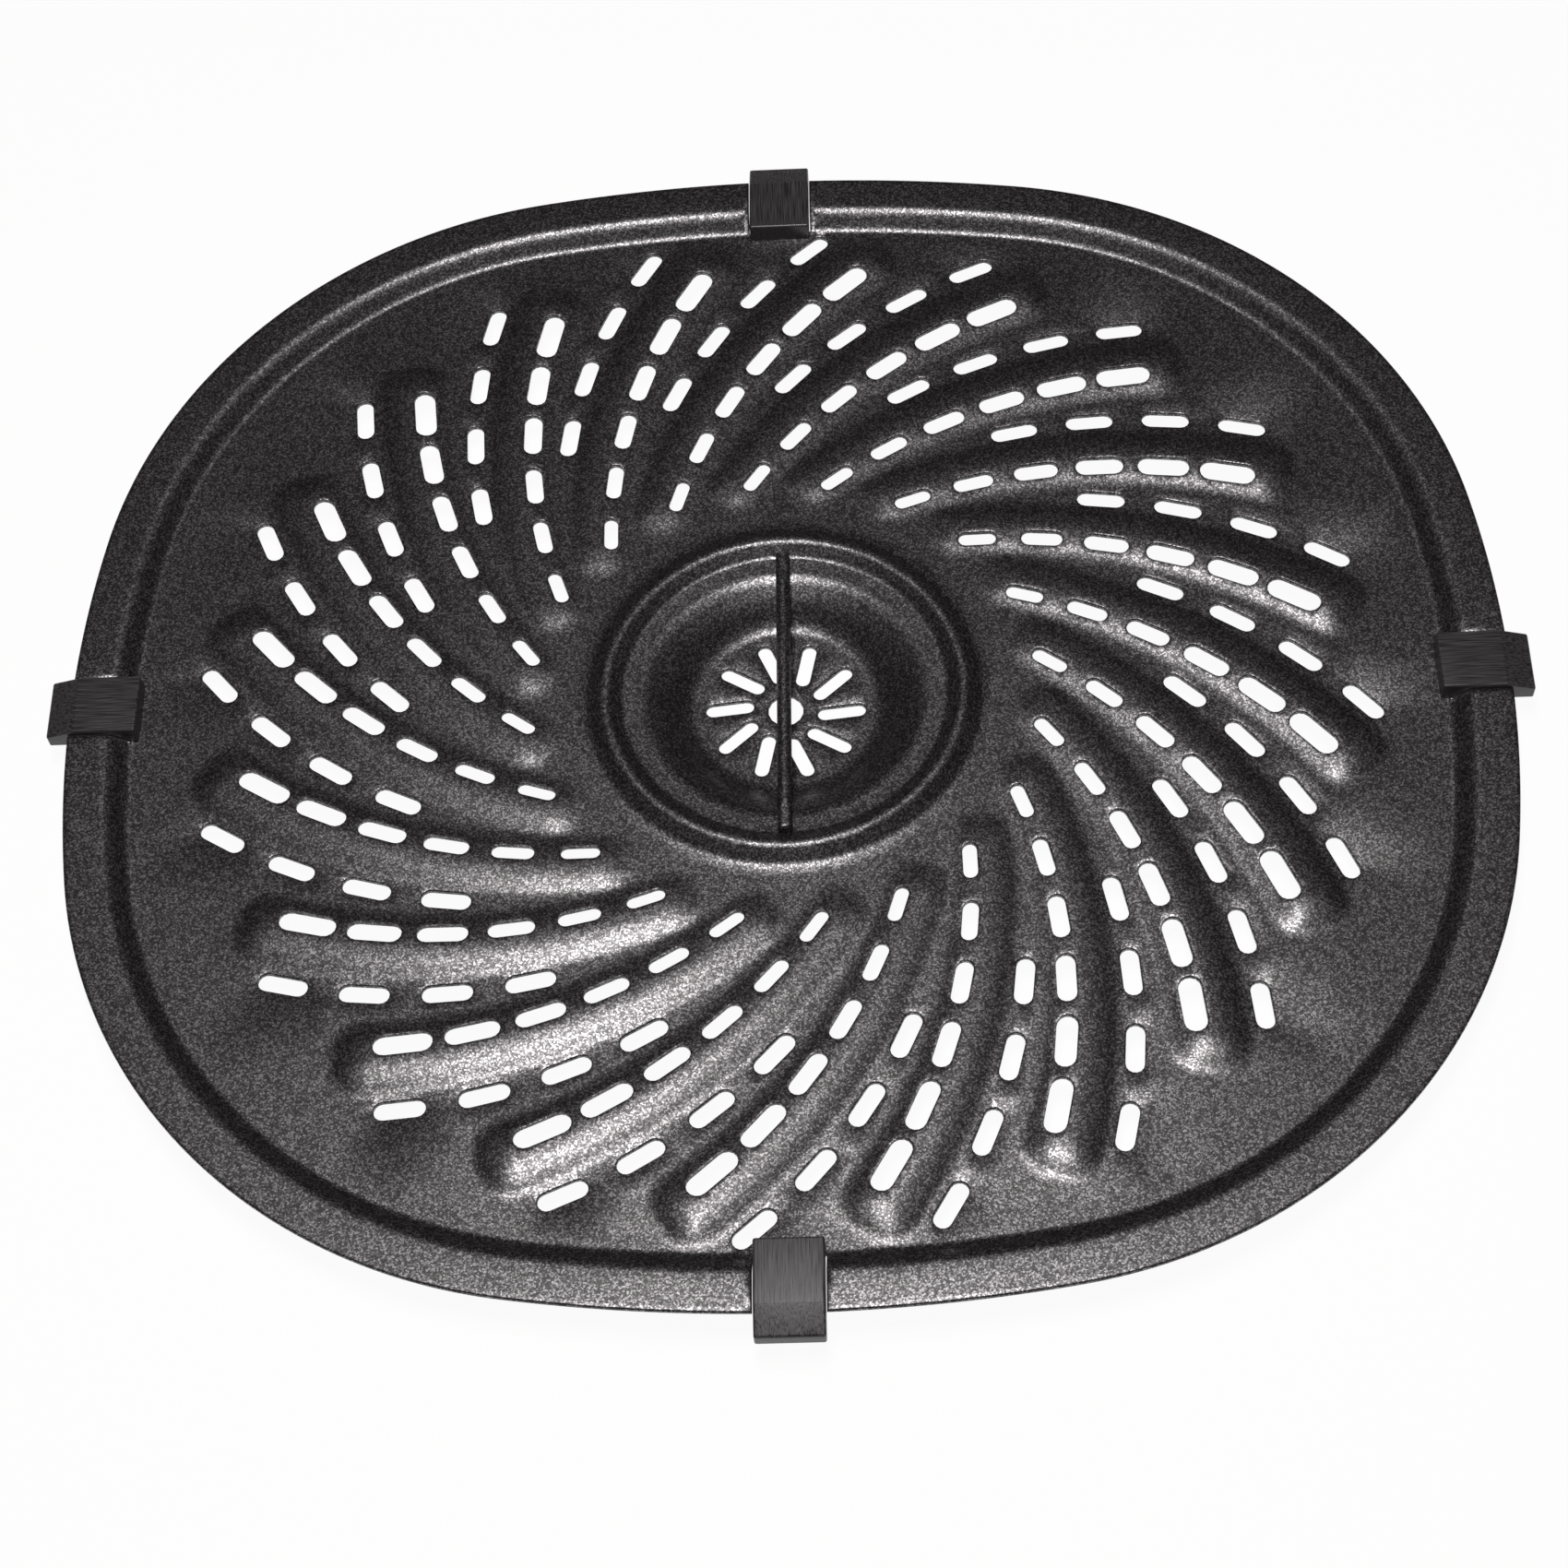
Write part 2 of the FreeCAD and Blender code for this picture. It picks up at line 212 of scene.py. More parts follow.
def dish_height(radius):
    """Height of the dish over the floor at a radius from the axis."""
    height = np.full_like(radius, DISH_KNOTS[0][1])
    slope = 0.0
    for index, (knot, level, bend) in enumerate(DISH_KNOTS):
        following = DISH_KNOTS[index + 1] if index + 1 < len(DISH_KNOTS) else (knot + 1, level, bend)
        next_slope = (following[1] - level) / (following[0] - knot)
        height = height + (next_slope - slope) * soft_ramp(radius - knot, bend)
        slope = next_slope
    return height


def sheet_height(x, y):
    """Height of the top of the sheet, before its edges are rounded."""
    inset = rim_inset(x, y)
    fall = soft_ramp(inset - FLANGE_WIDTH, STEP_TOP_BEND)
    fall = fall - soft_ramp(inset - FLANGE_WIDTH - STEP_RUN, STEP_FOOT_BEND)
    step = STEP_RISE * (1 - fall / STEP_RUN)
    return FLOOR_TOP + step + dish_height(np.hypot(x, y)) + ribs_height(x, y)


# Slots, each as its middle, bearing, length and width

def row_slots(centre, radius, bearings, lengths, widths, count):
    slots = []
    for index in range(count):
        share = index / (count - 1)
        ranges = (bearings, lengths, widths)
        bearing, length, width = [first + share * (last - first) for first, last in ranges]
        middle = polar(centre, radius, bearing)
        slots.append((middle[0], middle[1], bearing + 90, length, width))
    return slots


def all_slots():
    pattern = row_slots(RIB_CENTRE, RIB_ROW_RADIUS, RIB_SLOT_BEARINGS,
                        RIB_SLOT_LENGTHS, RIB_SLOT_WIDTHS, RIB_SLOT_COUNT)
    pattern += row_slots(FLOOR_ROW_CENTRE, FLOOR_ROW_RADIUS, FLOOR_SLOT_BEARINGS,
                         (FLOOR_SLOT_LENGTH,) * 2, (FLOOR_SLOT_WIDTH,) * 2, FLOOR_SLOT_COUNT)
    slots = []
    for index in range(RIB_COUNT):
        angle = index * 360.0 / RIB_COUNT
        for x, y, bearing, length, width in pattern:
            slots.append((*turned(x, y, angle), bearing + angle, length, width))
    for index in range(PINWHEEL_COUNT):
        angle = PINWHEEL_PHASE + index * 360.0 / PINWHEEL_COUNT
        slots.append((*turned(PINWHEEL_RADIUS, 0.0, angle), angle + PINWHEEL_SLOT_LEAN,
                      PINWHEEL_SLOT_LENGTH, PINWHEEL_SLOT_WIDTH))
    slots.append((0.0, 0.0, 0.0, CENTRE_HOLE_DIAMETER, CENTRE_HOLE_DIAMETER))
    return slots


CAP_STEPS = 7
SIDE_STEPS = 3


def slot_ring(slot, grow):
    """Points round a slot, walked to the left, at a distance outside its edge."""
    x, y, bearing, length, width = slot
    straight = (length - width) / 2
    radius = width / 2 + grow
    points = []
    for sign in (1, -1):
        for index in range(CAP_STEPS + 1):
            angle = pi * (index / CAP_STEPS - 0.5)
            points.append((sign * (straight + radius * cos(angle)), sign * radius * sin(angle)))
        if straight > 0:
            for index in range(1, SIDE_STEPS):
                points.append((sign * straight * (1 - 2 * index / SIDE_STEPS), sign * radius))
    if straight <= 0:
        points = points[:CAP_STEPS] + points[CAP_STEPS + 1:-1]
    turned_points = [turned(px, py, bearing) for px, py in points]
    return np.array([(x + px, y + py) for px, py in turned_points])


def outside_slots(points, slots, margin):
    """Which points stand at least a margin clear of every slot."""
    keep = np.ones(len(points), bool)
    for x, y, bearing, length, width in slots:
        px, py = turned(points[:, 0] - x, points[:, 1] - y, -bearing)
        straight = (length - width) / 2
        distance = np.hypot(px - np.clip(px, -straight, straight), py) - width / 2
        keep &= distance > margin
    return keep


# Outline with the slits beside each tab

def arc_points(centre, radius, first, last, spacing):
    count = max(2, int(abs(last - first) * radius / spacing) + 1)
    angles = np.linspace(first, last, count)
    return [(centre[0] + radius * cos(a), centre[1] + radius * sin(a)) for a in angles]


def outline_quarter(spacing, slits):
    """Outline from the middle of the right side to the middle of the back."""
    depth = FLANGE_WIDTH + STEP_RUN
    outer = NOTCH_WIDTH / 2
    inner = TAB_WIDTH / 2
    points = []
    side_start = 0.0
    end_stop = pi / 2
    if slits:
        side_reach = PLATE_WIDTH / 2 - depth
        tab_side = np.arcsin(inner / SIDE_BOW_RADIUS)
        points += arc_points(SIDE_CENTRE, SIDE_BOW_RADIUS, 0.0, tab_side, spacing)
        points += [(side_reach + depth / 3, inner), (side_reach, inner), (side_reach, outer),
                   (side_reach + depth / 3, outer)]
        side_start = np.arcsin(outer / SIDE_BOW_RADIUS)
        end_stop = pi / 2 - np.arcsin(outer / END_BOW_RADIUS)
    points += arc_points(SIDE_CENTRE, SIDE_BOW_RADIUS, side_start, SIDE_JOIN, spacing)[:-1]
    points += arc_points(CORNER_CENTRE, CORNER_RADIUS, SIDE_JOIN, END_JOIN, spacing)[:-1]
    points += arc_points(END_CENTRE, END_BOW_RADIUS, END_JOIN, end_stop, spacing)
    if slits:
        end_reach = PLATE_DEPTH / 2 - depth
        points += [(outer, end_reach + depth / 3), (outer, end_reach), (inner, end_reach),
                   (inner, end_reach + depth / 3)]
        tab_side = pi / 2 - np.arcsin(inner / END_BOW_RADIUS)
        points += arc_points(END_CENTRE, END_BOW_RADIUS, tab_side, pi / 2, spacing)
    return points


def outline_ring(spacing, slits=False):
    """The whole outline, walked to the left."""
    quarter = np.array(outline_quarter(spacing, slits))
    parts = [quarter[:-1]]
    parts.append(quarter[::-1][:-1] * (-1, 1))
    parts.append(quarter[:-1] * (-1, -1))
    parts.append(quarter[::-1][:-1] * (1, -1))
    return np.concatenate(parts)


def moved_inwards(ring, distance):
    """A ring walked to the left, each of its points moved inwards to keep the sides parallel."""
    sides = np.roll(ring, -1, axis=0) - ring
    normals = np.column_stack([-sides[:, 1], sides[:, 0]]) / np.hypot(*sides.T)[:, None]
    before = np.roll(normals, 1, axis=0)
    spread = 1 + (normals * before).sum(axis=1)
    return ring + distance * (normals + before) / spread[:, None]


def clear_of_slits(points, margin):
    """Which points stand clear of the slits."""
    depth = FLANGE_WIDTH + STEP_RUN + margin
    keep = np.ones(len(points), bool)
    for along, across, reach in ((0, 1, PLATE_WIDTH / 2), (1, 0, PLATE_DEPTH / 2)):
        side = np.abs(points[:, across])
        beside = (side > TAB_WIDTH / 2 - margin) & (side < NOTCH_WIDTH / 2 + margin)
        keep &= ~(beside & (np.abs(points[:, along]) > reach - depth))
    return keep


# Mesh of the sheet: points across and along a rib, at its feet and in a bend, spacing on the rim in mm,
# and points round the dish, for each face
UPPER_FACE_POINTS = (14, 44, 6, 6, 2.2, 120)
LOWER_FACE_POINTS = (7, 26, 4, 4, 4.0, 72)
OUTLINE_SPACING = 2.2
CLEAR_OF_EDGE = 0.12
CLEAR_OF_SLIT = 0.3


def graded(first, last, edge, edge_count, count):
    """Stations from first to last, closer together within an edge zone at each end."""
    return np.concatenate([
        np.linspace(first, first + edge, edge_count)[:-1],
        np.linspace(first + edge, last - edge, count),
        np.linspace(last - edge, last, edge_count)[1:],
    ])


def rib_grid(across, along, foot_count):
    """Points over one rib and its feet, closer together at the feet."""
    margin = RIB_NEAR_BEND / 2 + 0.15
    length = radians(RIB_START_BEARING - RIB_END_BEARING) * RIB_ROW_RADIUS
    cap = np.linspace(margin, RIB_CAP_RUN, 2 * foot_count)[1:]
    foot = np.linspace(-margin, margin, foot_count)
    start = np.concatenate([foot, cap])
    stations = np.concatenate([start[:-1], np.linspace(RIB_CAP_RUN, length - RIB_CAP_RUN, along),
                               length - start[-2::-1]])
    points = []
    for travel in stations:
        near, far = foot_offsets(min(max(travel / length, 0), 1))
        bearing = RIB_START_BEARING - degrees(travel / RIB_ROW_RADIUS)
        for offset in graded(near - margin, far + margin, 2 * margin, foot_count, across):
            points.append(polar(RIB_CENTRE, RIB_ROW_RADIUS + offset, bearing))
    return np.array(points)


def bend_stations(knot, bend, count):
    return list(np.linspace(knot - bend / 2 - 0.1, knot + bend / 2 + 0.1, count))


def surface_points(across, along, foot_count, bend_count, spacing, round_count):
    """Points that carry the ribs, the dish and the rim, but none near a slit."""
    grid = rib_grid(across, along, foot_count)
    parts = []
    for index in range(RIB_COUNT):
        x, y = turned(grid[:, 0], grid[:, 1], index * 360.0 / RIB_COUNT)
        parts.append(np.column_stack([x, y]))
    radii = [DISH_KNOTS[0][0] - 3.0]
    for knot, level, bend in DISH_KNOTS:
        radii += bend_stations(knot, bend, bend_count if bend > 1 else 3)
    for radius in sorted(radii):
        angles = np.linspace(0, 2 * pi, round_count, endpoint=False)
        parts.append(np.column_stack([radius * np.cos(angles), radius * np.sin(angles)]))
    insets = [RIM_ROUND * 3, FLANGE_WIDTH / 2]
    insets += bend_stations(FLANGE_WIDTH, STEP_TOP_BEND, bend_count)
    insets += bend_stations(FLANGE_WIDTH + STEP_RUN, STEP_FOOT_BEND, bend_count)
    rim = outline_ring(spacing)
    for inset in insets:
        parts.append(moved_inwards(rim, inset))
    points = np.concatenate(parts)
    return points[clear_of_slits(points, RIM_ROUND + CLEAR_OF_SLIT)]


def in_polygon(points, polygon):
    """Which points lie inside a closed polygon."""
    inside = np.zeros(len(points), bool)
    x = points[:, 0]
    y = points[:, 1]
    for (x0, y0), (x1, y1) in zip(polygon, np.roll(polygon, -1, axis=0)):
        if y0 == y1:
            continue
        crosses = (y0 > y) != (y1 > y)
        inside ^= crosses & (x < (x1 - x0) * (y - y0) / (y1 - y0) + x0)
    return inside


def side_triangles(loops, inner_points):
    """Triangles over one face of the sheet, inside the first loop and outside the others."""
    points = np.concatenate(loops + [inner_points])
    loop_of = np.full(len(points), -1)
    edges = []
    start = 0
    for number, loop in enumerate(loops):
        count = len(loop)
        loop_of[start:start + count] = number
        edges += [(start + index, start + (index + 1) % count) for index in range(count)]
        start += count
    result = geometry.delaunay_2d_cdt([Vector(p) for p in points.tolist()], edges, [], 0, 1e-5, True)
    source = np.array([origins[0] if origins else -1 for origins in result[3]])
    faces = source[np.array(result[2])]
    first, second, third = loop_of[faces].T
    same = (first == second) & (first == third)
    in_slot = same & (first > 0)
    on_outline = np.nonzero(same & (first == 0))[0]
    middles = points[faces[on_outline]].mean(axis=1)
    off_plate = np.zeros(len(faces), bool)
    off_plate[on_outline] = ~in_polygon(middles, loops[0])
    return points, faces[~(in_slot | off_plate)]


def edge_rounding(radius):
    """Distance from the edge and fall below the face, from the wall to the face."""
    return [(radius * (1 - cos(a)), radius * (1 - sin(a))) for a in (0, pi / 4, pi / 2)]


def plate_mesh():
    """The pressed sheet as one closed mesh, with its slots cut and every edge rounded."""
    slots = all_slots()
    margin = SLOT_EDGE_ROUND + CLEAR_OF_EDGE
    rim = outline_ring(OUTLINE_SPACING, slits=True)
    falls = [[drop for distance, drop in edge_rounding(RIM_ROUND)]]
    rings = [[moved_inwards(rim, distance) for distance, drop in edge_rounding(RIM_ROUND)]]
    for slot in slots:
        falls.append([drop for distance, drop in edge_rounding(SLOT_EDGE_ROUND)])
        rings.append([slot_ring(slot, grow) for grow, drop in edge_rounding(SLOT_EDGE_ROUND)])
    face_rings = [ring[-1] for ring in rings]
    coordinates = []
    faces = []
    wall_starts = {}
    for side, amounts in ((1, UPPER_FACE_POINTS), (-1, LOWER_FACE_POINTS)):
        inner_points = surface_points(*amounts)
        inner_points = inner_points[outside_slots(inner_points, slots, margin)]
        points, triangles = side_triangles(face_rings, inner_points)
        start = sum(len(part) for part in coordinates)
        level = 0 if side > 0 else SHEET
        coordinates.append(np.column_stack([points, sheet_height(*points.T) - level]))
        order = triangles if side > 0 else triangles[:, ::-1]
        faces += (order + start).tolist()
        outside = start
        following = start + len(points)
        for number, (ring, fall) in enumerate(zip(rings, falls)):
            count = len(ring[-1])
            above = outside
            for strip in (1, 0):
                x, y = ring[strip].T
                height = sheet_height(x, y) - level - side * fall[strip]
                coordinates.append(np.column_stack([x, y, height]))
                for index in range(count):
                    after = (index + 1) % count
                    quad = [above + index, above + after, following + after, following + index]
                    faces.append(quad if (side > 0) == (number == 0) else quad[::-1])
                above = following
                following += count
            wall_starts[side, number] = above
            outside += count
    for number, ring in enumerate(rings):
        count = len(ring[0])
        top = wall_starts[1, number]
        bottom = wall_starts[-1, number]
        for index in range(count):
            after = (index + 1) % count
            quad = [bottom + index, bottom + after, top + after, top + index]
            faces.append(quad if number == 0 else quad[::-1])
    return new_mesh("crisper_plate_sheet", np.concatenate(coordinates), faces)


def finish_mesh(mesh, sharp):
    """Normals facing out, smooth shading, and creases over an angle in degrees kept sharp."""
    work = bmesh.new()
    work.from_mesh(mesh)
    bmesh.ops.recalc_face_normals(work, faces=work.faces)
    work.to_mesh(mesh)
    work.free()
    mesh.polygons.foreach_set("use_smooth", [True] * len(mesh.polygons))
    mesh.set_sharp_from_angle(angle=radians(sharp))


def new_mesh(name, coordinates, faces, sharp=50.0):
    """Smooth-shaded object made from millimetres."""
    mesh = bpy.data.meshes.new(name)
    mesh.from_pydata((np.asarray(coordinates, float) * MM).tolist(), [], faces)
    mesh.validate()
    finish_mesh(mesh, sharp)
    obj = bpy.data.objects.new(name, mesh)
    bpy.context.scene.collection.objects.link(obj)
    return obj


def linked_object(name, work):
    """Object made from a bmesh that is already in metres."""
    mesh = bpy.data.meshes.new(name)
    work.to_mesh(mesh)
    work.free()
    obj = bpy.data.objects.new(name, mesh)
    bpy.context.scene.collection.objects.link(obj)
    return obj


# Materials

def material(name):
    """New node material with its shader and output."""
    made = bpy.data.materials.new(name)
    made.use_nodes = True
    nodes = made.node_tree.nodes
    return made, nodes, made.node_tree.links, nodes["Principled BSDF"]


def value_range(nodes, low, high, first=0.0, last=1.0):
    """Node that maps values between low and high to first and last."""
    ramp = nodes.new("ShaderNodeMapRange")
    ramp.inputs["From Min"].default_value = low
    ramp.inputs["From Max"].default_value = high
    ramp.inputs["To Min"].default_value = first
    ramp.inputs["To Max"].default_value = last
    return ramp


def grain_level(nodes, links, source, low, high):
    """Value for each grain of the coating: mostly near low, with a few grains up to high."""
    steep = nodes.new("ShaderNodeMath")
    steep.operation = "POWER"
    steep.inputs[1].default_value = 3.0
    links.new(source, steep.inputs[0])
    level = value_range(nodes, 0.0, 1.0, low, high)
    links.new(steep.outputs[0], level.inputs["Value"])
    return level.outputs["Result"]


def coated_steel():
    """Warm near-black non-stick coating with a fine glittering grain."""
    made, nodes, links, shader = material("coated_steel")
    shader.inputs["Roughness"].default_value = 0.55
    shader.inputs["Coat IOR"].default_value = 2.6
    shader.inputs["Coat Roughness"].default_value = 0.355
    place = nodes.new("ShaderNodeTexCoord")
    grains = nodes.new("ShaderNodeTexVoronoi")
    grains.inputs["Scale"].default_value = 4200.0
    links.new(place.outputs["Object"], grains.inputs["Vector"])
    pick = nodes.new("ShaderNodeSeparateColor")
    links.new(grains.outputs["Color"], pick.inputs["Color"])
    glitter = pick.outputs["Red"]
    links.new(grain_level(nodes, links, glitter, 0.2, 1.25), shader.inputs["Specular IOR Level"])
    links.new(grain_level(nodes, links, glitter, 0.15, 1.0), shader.inputs["Coat Weight"])
    colour = nodes.new("ShaderNodeMix")
    colour.data_type = "RGBA"
    colour.inputs["A"].default_value = (0.003, 0.0023, 0.0023, 1)
    colour.inputs["B"].default_value = (0.027, 0.0245, 0.0245, 1)
    links.new(grain_level(nodes, links, glitter, 0.0, 1.0), colour.inputs["Factor"])
    links.new(colour.outputs["Result"], shader.inputs["Base Color"])
    bump = nodes.new("ShaderNodeBump")
    bump.inputs["Strength"].default_value = 0.3
    bump.inputs["Distance"].default_value = 0.00005
    links.new(pick.outputs["Green"], bump.inputs["Height"])
    links.new(bump.outputs["Normal"], shader.inputs["Normal"])
    return made


def silicone(name, streak_scale):
    """Satin black silicone with fine streaks along the sleeve in its roughness and bump, and a painted
    grey sheen in the same streaks of its colour.
    """
    made, nodes, links, shader = material(name)
    shader.inputs["IOR"].default_value = 1.5
    place = nodes.new("ShaderNodeTexCoord")
    stretch = nodes.new("ShaderNodeMapping")
    stretch.inputs["Scale"].default_value = streak_scale
    links.new(place.outputs["Object"], stretch.inputs["Vector"])
    streaks_and_sheen = nodes.new("ShaderNodeTexNoise")
    streaks_and_sheen.inputs["Scale"].default_value = 1.0
    streaks_and_sheen.inputs["Detail"].default_value = 4.0
    links.new(stretch.outputs["Vector"], streaks_and_sheen.inputs["Vector"])
    # Painted sheen: where the streaks run light, the colour turns from black towards grey.
    painted_sheen = value_range(nodes, 0.3, 0.75)
    links.new(streaks_and_sheen.outputs["Fac"], painted_sheen.inputs["Value"])
    colour = nodes.new("ShaderNodeMix")
    colour.data_type = "RGBA"
    colour.inputs["A"].default_value = (0.006, 0.0055, 0.006, 1)
    colour.inputs["B"].default_value = (0.075, 0.071, 0.072, 1)
    links.new(painted_sheen.outputs["Result"], colour.inputs["Factor"])
    links.new(colour.outputs["Result"], shader.inputs["Base Color"])
    rough = value_range(nodes, 0.3, 0.7, 0.25, 0.42)
    links.new(streaks_and_sheen.outputs["Fac"], rough.inputs["Value"])
    links.new(rough.outputs["Result"], shader.inputs["Roughness"])
    bump = nodes.new("ShaderNodeBump")
    bump.inputs["Strength"].default_value = 0.25
    bump.inputs["Distance"].default_value = 0.0001
    links.new(streaks_and_sheen.outputs["Fac"], bump.inputs["Height"])
    links.new(bump.outputs["Normal"], shader.inputs["Normal"])
    return made


# Bumpers

BUMPER_TOP_THICKNESS = 0.8
BUMPER_BOTTOM_THICKNESS = 2.2
BUMPER_REACH_OUT = 3.7
BUMPER_NOSE_DROP = 1.5
BUMPER_SLOPE_START = 1.2
BUMPER_FOOT_LENGTH = 1.7
BUMPER_EDGE_ROUND = 0.4
BUMPER_EDGE_STEPS = 8
BUMPER_SHARP_ANGLE = 14.0


def extruded(outline, half_width):
    """Closed bmesh of an outline in Y and Z, extruded both ways along X."""
    work = bmesh.new()
    ends = [[work.verts.new((x, y, z)) for y, z in outline] for x in (-half_width, half_width)]
    count = len(outline)
    work.faces.new(ends[0])
    work.faces.new(ends[1][::-1])
    for index in range(count):
        after = (index + 1) % count
        work.faces.new((ends[0][after], ends[0][index], ends[1][index], ends[1][after]))
    bmesh.ops.recalc_face_normals(work, faces=work.faces)
    return work


def tab_outline(reach):
    """Section of the tab inside a sleeve: it follows the floor, the step and the flange."""
    stations = np.linspace(reach - FLANGE_WIDTH - STEP_RUN - BUMPER_FOOT_LENGTH - SHEET, reach, 30)
    inset = reach - stations
    fall = soft_ramp(inset - FLANGE_WIDTH, STEP_TOP_BEND)
    fall = fall - soft_ramp(inset - FLANGE_WIDTH - STEP_RUN, STEP_FOOT_BEND)
    top = FLOOR_TOP + STEP_RISE * (1 - fall / STEP_RUN)
    return list(zip(stations, top)) + list(zip(stations[::-1], top[::-1] - SHEET))


def bumper(name, side, rubber):
    """Silicone sleeve, hollow where the tab passes into it. Only the crease on its top stays sharp."""
    reach = (PLATE_DEPTH if side % 2 == 0 else PLATE_WIDTH) / 2
    flange_top = FLOOR_TOP + STEP_RISE
    top = flange_top + BUMPER_TOP_THICKNESS
    nose = reach + BUMPER_REACH_OUT
    underside = flange_top - SHEET - BUMPER_BOTTOM_THICKNESS
    heel = reach - FLANGE_WIDTH
    inner = heel - STEP_RUN - BUMPER_FOOT_LENGTH
    crease = reach - BUMPER_SLOPE_START
    outline = ((inner, FLOOR_TOP), (inner, top), (crease, top), (nose, top - BUMPER_NOSE_DROP),
               (nose, underside), (heel, underside), (heel - STEP_RUN, FLOOR_TOP))
    work = extruded(outline, BUMPER_WIDTH / 2)
    raised = [edge for edge in work.edges if max(corner.co.z for corner in edge.verts) > FLOOR_TOP + 0.1
              and any(abs(corner.co.y - crease) > 0.01 for corner in edge.verts)]
    bmesh.ops.bevel(work, geom=raised, offset=BUMPER_EDGE_ROUND, segments=BUMPER_EDGE_STEPS,
                    profile=0.5, affect="EDGES")
    cutter = extruded(tab_outline(reach), TAB_WIDTH / 2)
    turn = Matrix.Rotation(radians(180 + side * 90), 4, "Z")
    for part in (work, cutter):
        bmesh.ops.transform(part, matrix=Matrix.Scale(MM, 4) @ turn, verts=part.verts)
    sleeve = linked_object(name + "_sleeve", work)
    tab = linked_object(name + "_tab", cutter)
    cut = sleeve.modifiers.new("tab", "BOOLEAN")
    cut.operation = "DIFFERENCE"
    cut.solver = "EXACT"
    cut.object = tab
    bpy.context.view_layer.update()
    evaluated = sleeve.evaluated_get(bpy.context.evaluated_depsgraph_get())
    hollow = bpy.data.meshes.new_from_object(evaluated)
    sleeve.modifiers.clear()
    sleeve.data = hollow
    bpy.data.objects.remove(tab)
    finish_mesh(hollow, BUMPER_SHARP_ANGLE)
    hollow.materials.append(rubber)
    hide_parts(name)
    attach(sleeve, "root")
    return sleeve


# Lifting bar

BAR_DIAMETER = 2.4
BAR_SEAT_DEPTH = 0.15
BAR_HALF_LENGTH = 27.3
BAR_PAD_LENGTH = 3.6
BAR_PAD_BLEND = 1.6
BAR_PAD_WIDTH = 2.4
BAR_PAD_HEIGHT = 2.15
BAR_SQUARENESS = 2.0
BAR_PAD_SQUARENESS = 2.8
BAR_END_ROUND = 0.3
BAR_ROUND_COUNT = 40
LEDGE_TOP = FLOOR_TOP + LEDGE_HEIGHT


def eased(value):
    """Smooth step from 0 to 1."""
    value = min(max(value, 0.0), 1.0)
    return value * value * (3 - 2 * value)


def bar_section(y):
    """Half width, half height, middle height and squareness of the bar at a place along it."""
    past = (abs(y) - (BAR_HALF_LENGTH - BAR_PAD_LENGTH - BAR_PAD_BLEND)) / BAR_PAD_BLEND
    pressed = eased(past)
    radius = BAR_DIAMETER / 2
    middle = LEDGE_TOP + radius - BAR_SEAT_DEPTH
    pad_middle = LEDGE_TOP + BAR_PAD_HEIGHT / 2
    trim = max(abs(y) - (BAR_HALF_LENGTH - BAR_END_ROUND), 0.0)
    trim = BAR_END_ROUND - sqrt(max(BAR_END_ROUND ** 2 - trim ** 2, 0.0))
    return (radius + pressed * (BAR_PAD_WIDTH / 2 - radius) - trim,
            radius + pressed * (BAR_PAD_HEIGHT / 2 - radius) - trim,
            middle + pressed * (pad_middle - middle),
            BAR_SQUARENESS + pressed * (BAR_PAD_SQUARENESS - BAR_SQUARENESS))


def lifting_bar(coating):
    """Round rod whose ends are pressed a little squarer on top of the ledge."""
    end = BAR_PAD_LENGTH + BAR_PAD_BLEND
    stations = list(np.linspace(-BAR_HALF_LENGTH, -BAR_HALF_LENGTH + BAR_END_ROUND, 4))
    stations += list(np.linspace(-BAR_HALF_LENGTH + end / 6, -BAR_HALF_LENGTH + end, 16))
    stations += list(np.linspace(-BAR_HALF_LENGTH + end + 1, 0, 8))
    stations += [-y for y in stations[-2::-1]]
    coordinates = []
    faces = []
    for number, y in enumerate(stations):
        half_width, half_height, middle, squareness = bar_section(y)
        for index in range(BAR_ROUND_COUNT):
            angle = 2 * pi * index / BAR_ROUND_COUNT
            across = np.sign(cos(angle)) * abs(cos(angle)) ** (2 / squareness)
            up = np.sign(sin(angle)) * abs(sin(angle)) ** (2 / squareness)
            coordinates.append((half_width * across, y, middle + half_height * up))
        if number == 0:
            continue
        start = (number - 1) * BAR_ROUND_COUNT
        for index in range(BAR_ROUND_COUNT):
            after = (index + 1) % BAR_ROUND_COUNT
            faces.append((start + index, start + after, start + BAR_ROUND_COUNT + after,
                          start + BAR_ROUND_COUNT + index))
    last = (len(stations) - 1) * BAR_ROUND_COUNT
    faces.append(tuple(range(BAR_ROUND_COUNT)))
    faces.append(tuple(range(last + BAR_ROUND_COUNT - 1, last - 1, -1)))
    bar = new_mesh("lifting_bar_rod", coordinates, faces)
    bar.data.materials.append(coating)
    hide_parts("lifting_bar")
    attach(bar, "root")
    return bar


# Pieces

plate = plate_mesh()
plate.data.materials.append(coated_steel())
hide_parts("crisper_plate")
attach(plate, "root")

STREAKS_ACROSS = 5200.0
STREAKS_ALONG = 180.0
end_rubber = silicone("silicone_end", (STREAKS_ACROSS, STREAKS_ALONG, STREAKS_ACROSS))
side_rubber = silicone("silicone_side", (STREAKS_ALONG, STREAKS_ACROSS, STREAKS_ACROSS))
for side, name in enumerate(("front", "right", "back", "left")):
    bumper(name + "_bumper", side, side_rubber if side % 2 else end_rubber)
lifting_bar(plate.data.materials[0])


# Floor, light and camera

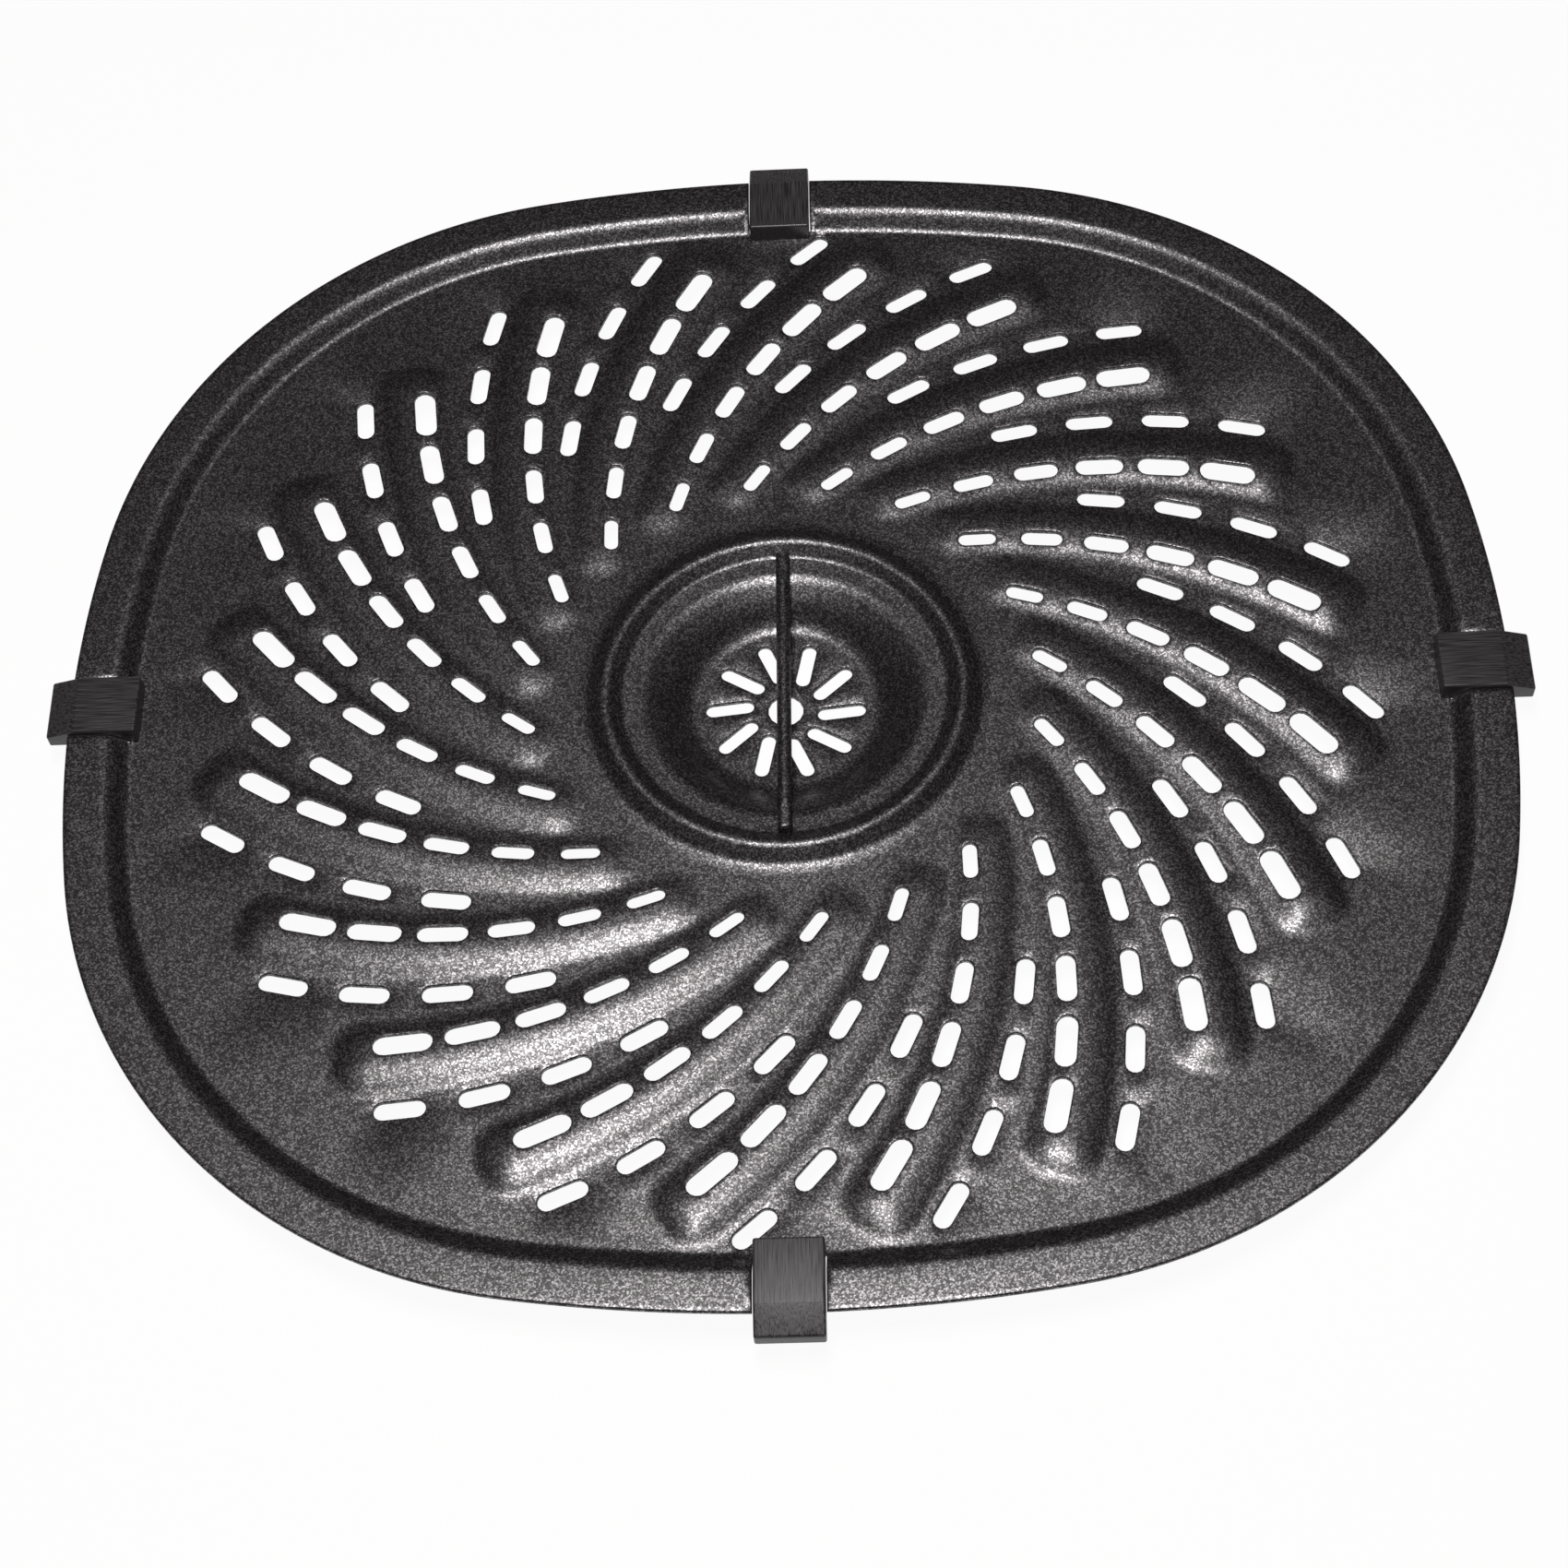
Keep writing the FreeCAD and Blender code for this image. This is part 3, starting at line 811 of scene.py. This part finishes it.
FLOOR_HALF_WIDTH = 40.0
FLOOR_GLOW_SHARE = 0.95
LAMP_PLACE = (-0.013, -0.056, 0.626)
LAMP_TARGET = (-0.013, -0.056, 0.0)
LAMP_SIZE = (0.10, 0.24)
LAMP_POWER = 3.5
LAMP_COLOUR = (1.0, 0.945, 0.96)
STUDIO_LEVEL = 0.02

def area_lamp(name, place, target, size, power, colour):
    light = bpy.data.lights.new(name, "AREA")
    light.shape = "RECTANGLE"
    light.size, light.size_y = size
    light.energy = power
    light.color = colour
    lamp = bpy.data.objects.new(name, light)
    lamp.location = place
    lamp.rotation_euler = (Vector(target) - Vector(place)).to_track_quat("-Z", "Y").to_euler()
    bpy.context.scene.collection.objects.link(lamp)
    return lamp


def pale_floor():
    """Wide pale floor. What the lens and reflections see of it is nearly white."""
    half = FLOOR_HALF_WIDTH
    corners = [(-half, -half, 0), (half, -half, 0), (half, half, 0), (-half, half, 0)]
    mesh = bpy.data.meshes.new("floor")
    mesh.from_pydata(corners, [], [(0, 1, 2, 3)])
    floor = bpy.data.objects.new("floor", mesh)
    bpy.context.scene.collection.objects.link(floor)
    made, nodes, links, shader = material("pale_floor")
    shader.inputs["Base Color"].default_value = (0.85, 0.85, 0.85, 1)
    shader.inputs["Roughness"].default_value = 0.9
    path = nodes.new("ShaderNodeLightPath")
    seen = nodes.new("ShaderNodeMath")
    seen.operation = "MAXIMUM"
    links.new(path.outputs["Is Camera Ray"], seen.inputs[0])
    links.new(path.outputs["Is Glossy Ray"], seen.inputs[1])
    also = nodes.new("ShaderNodeMath")
    also.operation = "MAXIMUM"
    links.new(seen.outputs[0], also.inputs[0])
    links.new(path.outputs["Is Transmission Ray"], also.inputs[1])
    share = nodes.new("ShaderNodeMath")
    share.operation = "MULTIPLY"
    share.inputs[1].default_value = FLOOR_GLOW_SHARE
    links.new(also.outputs[0], share.inputs[0])
    glow = nodes.new("ShaderNodeEmission")
    glow.inputs["Strength"].default_value = 1.0
    blend = nodes.new("ShaderNodeMixShader")
    links.new(share.outputs[0], blend.inputs[0])
    links.new(shader.outputs[0], blend.inputs[1])
    links.new(glow.outputs[0], blend.inputs[2])
    links.new(blend.outputs[0], nodes["Material Output"].inputs["Surface"])
    mesh.materials.append(made)
    return floor


pale_floor()
area_lamp("overhead_softbox", LAMP_PLACE, LAMP_TARGET, LAMP_SIZE, LAMP_POWER, LAMP_COLOUR)

world = bpy.data.worlds.new("studio")
bpy.context.scene.world = world
world.use_nodes = True
world.node_tree.nodes["Background"].inputs["Color"].default_value = (1, 1, 1, 1)
world.node_tree.nodes["Background"].inputs["Strength"].default_value = STUDIO_LEVEL

# The lens looks down at the plate from the front, a little to the right, as the photograph does
FOCAL_PIXELS = 3285.2
IMAGE_PIXELS = 1700
IMAGE_MIDDLE = IMAGE_PIXELS / 2
AIM_PIXEL = (850.5, 752.76)
CAMERA_DISTANCE = 509.68
CAMERA_ELEVATION = 57.54
CAMERA_AZIMUTH = 3.99
CAMERA_ROLL = -5.275
AIM_HEIGHT = 6.0
SENSOR = 36.0
NEAREST_SEEN = 0.01


def photo_camera():
    """Camera whose aim pixel falls on the axis of the dish at the height of the floor."""
    azimuth = radians(CAMERA_AZIMUTH)
    elevation = radians(CAMERA_ELEVATION)
    away = Vector((sin(azimuth) * cos(elevation), -cos(azimuth) * cos(elevation), sin(elevation)))
    forward = -away
    right = forward.cross(Vector((0, 0, 1))).normalized()
    down = forward.cross(right)
    rows = Matrix((right, down, forward))
    roll = radians(CAMERA_ROLL)
    spin = Matrix(((cos(roll), -sin(roll), 0), (sin(roll), cos(roll), 0), (0, 0, 1)))
    across, along = [(pixel - IMAGE_MIDDLE) / FOCAL_PIXELS for pixel in AIM_PIXEL]
    sight = Vector((across, along, 1.0))
    tilt = Vector((0, 0, 1)).rotation_difference(sight).to_matrix()
    turn = tilt @ spin @ rows
    axes = Matrix((turn[0], -turn[1], -turn[2])).transposed()
    data = bpy.data.cameras.new("camera")
    data.sensor_width = SENSOR
    data.lens = FOCAL_PIXELS / IMAGE_PIXELS * SENSOR
    data.clip_start = NEAREST_SEEN
    camera = bpy.data.objects.new("camera", data)
    place = (away * CAMERA_DISTANCE + Vector((0, 0, AIM_HEIGHT))) * MM
    camera.matrix_world = Matrix.Translation(place) @ axes.to_4x4()
    bpy.context.scene.collection.objects.link(camera)
    bpy.context.scene.camera = camera


photo_camera()
bpy.context.scene.view_settings.view_transform = "Standard"
